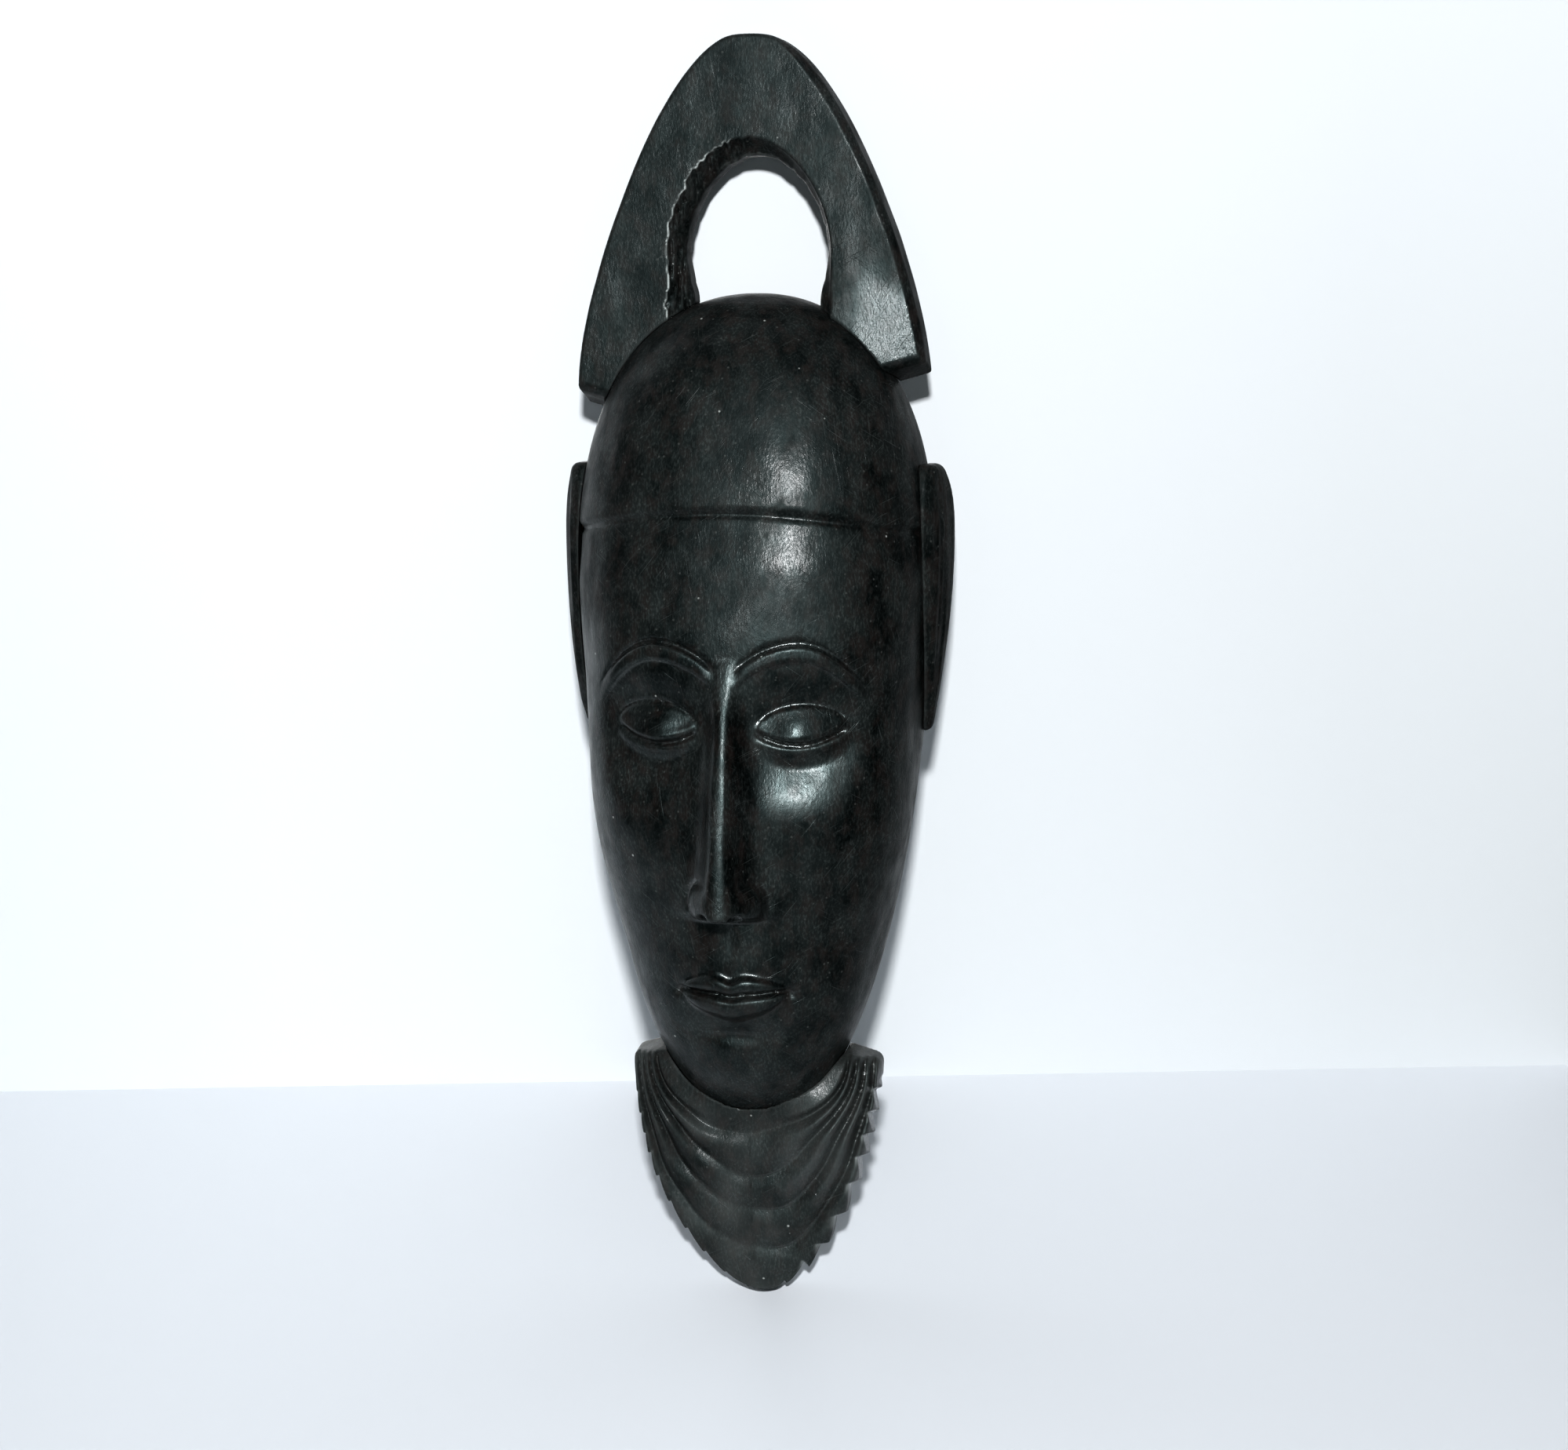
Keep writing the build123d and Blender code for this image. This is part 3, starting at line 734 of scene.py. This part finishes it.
def ebony():
    """Black hardwood, waxed and rubbed: mottled, with grain, scratches and dust in the cuts."""
    nodes = Nodes.of_material("ebony")
    bend = nodes.add("ShaderNodeAttribute", attribute_name="bend").outputs["Fac"]
    pale = nodes.add("ShaderNodeAttribute", attribute_name="pale").outputs["Fac"]
    polished = nodes.add("ShaderNodeAttribute", attribute_name="polished").outputs["Fac"]
    in_cuts = nodes.between(bend, -0.05, -0.34)
    on_edges = nodes.between(bend, 0.18, 0.6)

    cloud = nodes.between(nodes.noise((9, 9, 13), 5.0, seed=1), 0.42, 0.66)
    colour = nodes.mixed(cloud, (0.0004, 0.0009, 0.0008), (0.0135, 0.0158, 0.0152))
    brown = nodes.between(nodes.noise((3.5, 3.5, 6), 3.0, seed=8), 0.46, 0.64)
    colour = nodes.mixed(nodes.math("MULTIPLY", brown, 0.6), colour, (0.020, 0.0145, 0.013))
    grain = nodes.between(nodes.noise((0.5, 0.5, 1.1), 3.0, seed=2), 0.48, 0.72)
    dulled = nodes.between(cloud, 0, 1, 0.25, 0.8)
    colour = nodes.mixed(nodes.math("MULTIPLY", grain, dulled), colour, (0.048, 0.055, 0.053))

    nicks = scratches(nodes, -38, 4)
    for angle, seed in ((-62, 9), (12, 15), (55, 27)):
        nicks = nodes.math("MAXIMUM", nicks, scratches(nodes, angle, seed))
    colour = nodes.mixed(nodes.math("MULTIPLY", nicks, 0.5), colour, (0.06, 0.066, 0.064))
    crumbs = nodes.between(nodes.noise((3, 3, 5), 3.0, seed=5), 0.3, 0.65, 0.1, 1.0)
    dusty = nodes.math("MULTIPLY", in_cuts, crumbs)
    colour = nodes.mixed(nodes.math("MULTIPLY", dusty, 0.5), colour, (0.040, 0.044, 0.043))
    # edges painted lighter: partly wear, partly a painted sheen along them
    colour = nodes.mixed(nodes.math("MULTIPLY", on_edges, 0.4), colour, (0.030, 0.034, 0.033))
    colour = nodes.mixed(nodes.between(pale, 0.05, 0.75), colour, (0.40, 0.43, 0.42))
    colour = nodes.mixed(spots(nodes, 9.0, 0.042, 0.022, 0.7), colour, (0.42, 0.44, 0.42))
    colour = nodes.mixed(spots(nodes, 2.8, 0.13, 0.07, 0.6), colour, (0.06, 0.063, 0.060))

    rough = nodes.between(nodes.noise((4, 4, 6), 5.0, seed=6), 0.36, 0.64, 0.29, 0.45)
    rough = nodes.math("ADD", rough, nodes.math("MULTIPLY", dusty, 0.2))
    rough = nodes.math("ADD", rough, nodes.math("MULTIPLY", nicks, 0.1))
    rough = nodes.math("ADD", rough, nodes.between(polished, 0, -1, 0.0, 0.22))
    soft_edges, sharp_edges = nodes.between(bend, 0.015, 0.12), nodes.between(bend, 0.35, 0.2)
    rounded = nodes.math("MULTIPLY", soft_edges, sharp_edges)
    handled = nodes.between(nodes.math("ADD", rounded, polished), 0, 1)
    polish = nodes.between(nodes.noise((6, 6, 11), 3.0, seed=11), 0.38, 0.62, 0.0, 0.22)
    polish = nodes.math("ADD", polish, nodes.math("MULTIPLY", handled, 0.8))
    polish = nodes.math("MULTIPLY", polish, nodes.between(dusty, 0, 0.5, 1.0, 0.1))
    ripple = nodes.noise((0.9, 0.9, 1.7), 5.0, seed=7)
    ripple = nodes.math("MULTIPLY", ripple, nodes.between(polished, 0, 1, 0.9, 1.35))
    height = nodes.math("ADD", ripple, nodes.math("MULTIPLY", grain, 0.22))
    height = nodes.math("SUBTRACT", height, nodes.math("MULTIPLY", nicks, 0.6))
    bumped = nodes.bump(height, 0.6, 0.14)
    shine = nodes.between(bend, 0.15, 0.45, 0.27, 0.08)
    shine = nodes.math("MULTIPLY", shine, nodes.between(polished, 0, -1, 1, 0.4))
    return nodes.finish(
        Base_Color=colour,
        Roughness=rough,
        Normal=bumped,
        Specular_IOR_Level=shine,
        Specular_Tint=(0.76, 1.0, 1.0, 1),
        Coat_Weight=polish,
        Coat_Roughness=nodes.between(polished, 0, 1, 0.20, 0.15),
        Coat_Normal=bumped,
    )


def dowel_wood():
    """Turned beech pegs, with darker flecks and lathe lines."""
    nodes = Nodes.of_material("dowel_wood")
    grain = nodes.between(nodes.noise((9, 0.8, 0.8), 3.0, seed=1), 0.3, 0.7)
    colour = nodes.mixed(grain, (0.45, 0.29, 0.15), (0.30, 0.175, 0.085))
    flecks = nodes.between(nodes.noise((2.2, 0.3, 0.3), 1.0, seed=2), 0.62, 0.70)
    colour = nodes.mixed(nodes.math("MULTIPLY", flecks, 0.6), colour, (0.17, 0.09, 0.045))
    rough = nodes.between(grain, 0.0, 1.0, 0.50, 0.68)
    return nodes.finish(Base_Color=colour, Roughness=rough, Normal=nodes.bump(grain, 0.4, 0.08))


def metal(name, clean, tarnish, share, roughness):
    """Small hardware: clean metal with tarnish in patches and fine drawing lines."""
    nodes = Nodes.of_material(name)
    patches = nodes.between(nodes.noise((2.2, 2.2, 2.2), 5.0, seed=1), 0.62 - share, 0.80 - share)
    lines = nodes.noise((0.12, 0.12, 2.0), 1.0, seed=2)
    rough = nodes.math("MULTIPLY", patches, 0.28)
    rough = nodes.math("ADD", rough, nodes.math("MULTIPLY", lines, 0.12))
    return nodes.finish(
        Base_Color=nodes.mixed(patches, clean, tarnish),
        Metallic=1.0,
        Roughness=nodes.math("ADD", rough, roughness),
        Normal=nodes.bump(lines, 0.3, 0.03),
    )


def dress(node, material):
    """Gives a CAD node that stays in view its material."""
    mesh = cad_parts[node].data
    mesh.materials.clear()
    mesh.materials.append(material)


# ---- the pieces ----------------------------------------------------------------------------------
wood = ebony()
carve("face_block", face_block, 0.62, wood, polished=head_polish)
carve("crest_arch", crest_arch, 0.40, wood, pale=crest_splinters, polished=crest_polish)
for node, side in (("ear_plate_left", -1), ("ear_plate_right", 1)):
    carve(node, ear_plate(node, side), 0.36, wood, polished=matt)
carve("beard_collar", beard_collar, 0.42, wood, pale=beard_cuts, polished=beard_polish)

pegs = dowel_wood()
brass = metal("brass", (0.62, 0.46, 0.20), (0.20, 0.13, 0.06), 0.08, 0.28)
zinc = metal("zinc_plate", (0.62, 0.61, 0.58), (0.30, 0.28, 0.24), 0.0, 0.30)
for node in ("crest_dowels", "ear_dowels", "beard_dowels"):
    dress(node, pegs)
dress("hanger_strap", brass)
dress("hanger_ring", brass)
dress("hanger_screw", zinc)


# ---- stage, light and camera ---------------------------------------------------------------------
def tilted(angle, turn):
    """The way out of a plane that leans back from the mask's back and is turned to the right."""
    return Matrix.Rotation(turn, 3, "Z") @ Vector((0, -cos(angle), -sin(angle)))


sheet_to_left, sheet_to_right = 0.50, 0.215


def sheet(name, out, reach, colour, shade_to_right, roughness):
    """A sheet of paper that starts at the crease, faces out and has painted shade that darkens it
    towards the right.

    A reach above 0 takes it upwards, and below 0 forwards. In reflections it is painted darker
    still towards the right, as painted shade. From behind, the camera and the back light see
    through it to the mask's back.
    """
    away = out.cross(crease) * reach
    corners = [crease_at - crease * sheet_to_left, crease_at + crease * sheet_to_right]
    corners += [corners[1] + away, corners[0] + away]
    mesh = bpy.data.meshes.new(name)
    mesh.from_pydata(corners, [], [(0, 1, 2, 3) if reach > 0 else (3, 2, 1, 0)])
    nodes = Nodes.of_material(name)
    fibres = nodes.noise((1.5, 1.5, 1.5), 4.0)
    across = nodes.add("ShaderNodeSeparateXYZ", {"Vector": nodes.place}).outputs["X"]
    to_right = nodes.between(across, -150, 150)
    # painted shade: the paper's own colour darkens towards the right
    shaded = nodes.mixed(to_right, colour, [shade_to_right * part for part in colour])
    rays = nodes.add("ShaderNodeLightPath").outputs
    # painted shade seen only in reflections: the paper turns dark towards the right
    shade_in_reflections = nodes.math("MULTIPLY", rays["Is Glossy Ray"], to_right)
    shaded = nodes.mixed(nodes.math("MULTIPLY", shade_in_reflections, 0.8), shaded, (0.03, 0.03, 0.03))
    from_behind = nodes.add("ShaderNodeNewGeometry").outputs["Backfacing"]
    from_front = nodes.math("SUBTRACT", 1.0, from_behind)
    to_lamp = nodes.math("MULTIPLY", from_front, rays["Is Shadow Ray"])
    to_camera = nodes.math("MULTIPLY", from_behind, rays["Is Camera Ray"])
    solid = nodes.math("SUBTRACT", 1.0, nodes.math("MAXIMUM", to_camera, to_lamp))
    bumped = nodes.bump(fibres, 0.1, 0.05)
    paper = nodes.finish(Base_Color=shaded, Roughness=roughness, Normal=bumped, Alpha=solid)
    mesh.materials.append(paper)
    made = bpy.data.objects.new(name, mesh)
    bpy.context.scene.collection.objects.link(made)


wall_out = tilted(radians(15.0), radians(4.0))
floor_tilt, floor_roll = radians(25.5), radians(-1.2)
floor_up = Vector((0, -sin(floor_tilt), cos(floor_tilt)))
floor_up = Matrix.Rotation(floor_roll, 3, "Y") @ floor_up
wall_touch = Vector((0, 0, crest_high[2] * MM)) - wall_out * MM
crease_at, crease = intersect_plane_plane(wall_touch, wall_out, Vector((0, 0, 0)), floor_up)
crease *= 1 if crease.x > 0 else -1
crease_at -= crease * (crease_at.x / crease.x)
# 0.80 and 0.94 give each sheet's painted shade at its right end
sheet("wall", wall_out, 0.50, (0.90, 0.935, 0.96), 0.80, 0.7)
sheet("floor", floor_up, -0.45, (0.75, 0.78, 0.82), 0.94, 0.6)

camera_turn, camera_distance, camera_height = radians(12.0), 0.850, 0.248
camera_at = Vector((sin(camera_turn), -cos(camera_turn), 0)) * camera_distance
camera_at.z = camera_height
aim_turn, aim_tilt, roll = radians(11.587), radians(-6.829), radians(-0.12)
aim = Vector((-sin(aim_turn) * cos(aim_tilt), cos(aim_turn) * cos(aim_tilt), sin(aim_tilt)))
camera = bpy.data.objects.new("camera", bpy.data.cameras.new("camera"))
camera.data.sensor_width = 36.0
camera.data.lens = 76.68
camera.data.clip_start = 0.01
camera.matrix_world = Matrix.Translation(camera_at) @ (
    aim.to_track_quat("-Z", "Y").to_matrix() @ Matrix.Rotation(roll, 3, "Z")
).to_4x4()
bpy.context.scene.collection.objects.link(camera)
bpy.context.scene.camera = camera


def area_light(name, turn, tilt, distance, size, watts, colour=(1, 1, 1)):
    """A soft box that looks at the middle of the mask from a turn to the right and a tilt up."""
    target = Vector((0, -0.02, 0.17))
    away = Vector((sin(turn) * cos(tilt), -cos(turn) * cos(tilt), sin(tilt)))
    light = bpy.data.lights.new(name, "AREA")
    light.shape = "RECTANGLE"
    light.size, light.size_y = size
    light.energy = watts
    light.color = colour
    lamp = bpy.data.objects.new(name, light)
    lamp.location = target + away * distance
    lamp.rotation_euler = (-away).to_track_quat("-Z", "Y").to_euler()
    bpy.context.scene.collection.objects.link(lamp)
    return lamp


area_light("flash", radians(11.8), radians(17), 1.1, (0.05, 0.05), 12.7, (0.98, 0.99, 1.0))
window = area_light("window", radians(-1.7), radians(3), 1.5, (0.08, 0.20), 3.6, (0.93, 0.99, 1.0))
window.visible_diffuse = False
area_light("back_light", radians(200), radians(10), 0.9, (0.45, 0.45), 6.5)


def room():
    """The world: lit in front, with a sharp edge on the left and a soft one on the right.

    It is dark beyond and weak on matt things, and the camera sees it as a plain pale backdrop.
    """
    world = bpy.data.worlds.new("room")
    world.use_nodes = True
    nodes = Nodes(world.node_tree)
    way = nodes.add("ShaderNodeSeparateXYZ", {"Vector": nodes.generated}).outputs
    turn = nodes.math("ARCTAN2", way["X"], nodes.math("MULTIPLY", way["Y"], -1.0))
    from_left = nodes.between(turn, radians(-28), radians(-19))
    to_right = nodes.between(turn, radians(68), radians(40))
    lit = nodes.math("MULTIPLY", from_left, to_right)
    lit = nodes.math("MULTIPLY", lit, nodes.between(way["Z"], 0.95, 0.5, 0.35, 1.0))
    strength = nodes.between(lit, 0.0, 1.0, 0.03, 0.29)
    rays = nodes.add("ShaderNodeLightPath").outputs
    on_paper, in_view = rays["Is Diffuse Ray"], rays["Is Camera Ray"]
    strength = nodes.math("MULTIPLY", strength, nodes.between(on_paper, 0, 1, 1.0, 0.2))
    strength = nodes.math("MAXIMUM", strength, nodes.math("MULTIPLY", in_view, 0.8))
    inputs = {"Color": (0.84, 0.97, 1.0, 1), "Strength": strength}
    background = nodes.add("ShaderNodeBackground", inputs)
    output = nodes.add("ShaderNodeOutputWorld")
    nodes.tree.links.new(background.outputs[0], output.inputs["Surface"])
    bpy.context.scene.world = world


room()
bpy.context.scene.view_settings.view_transform = "Standard"
bpy.context.scene.view_settings.look = "Medium High Contrast"
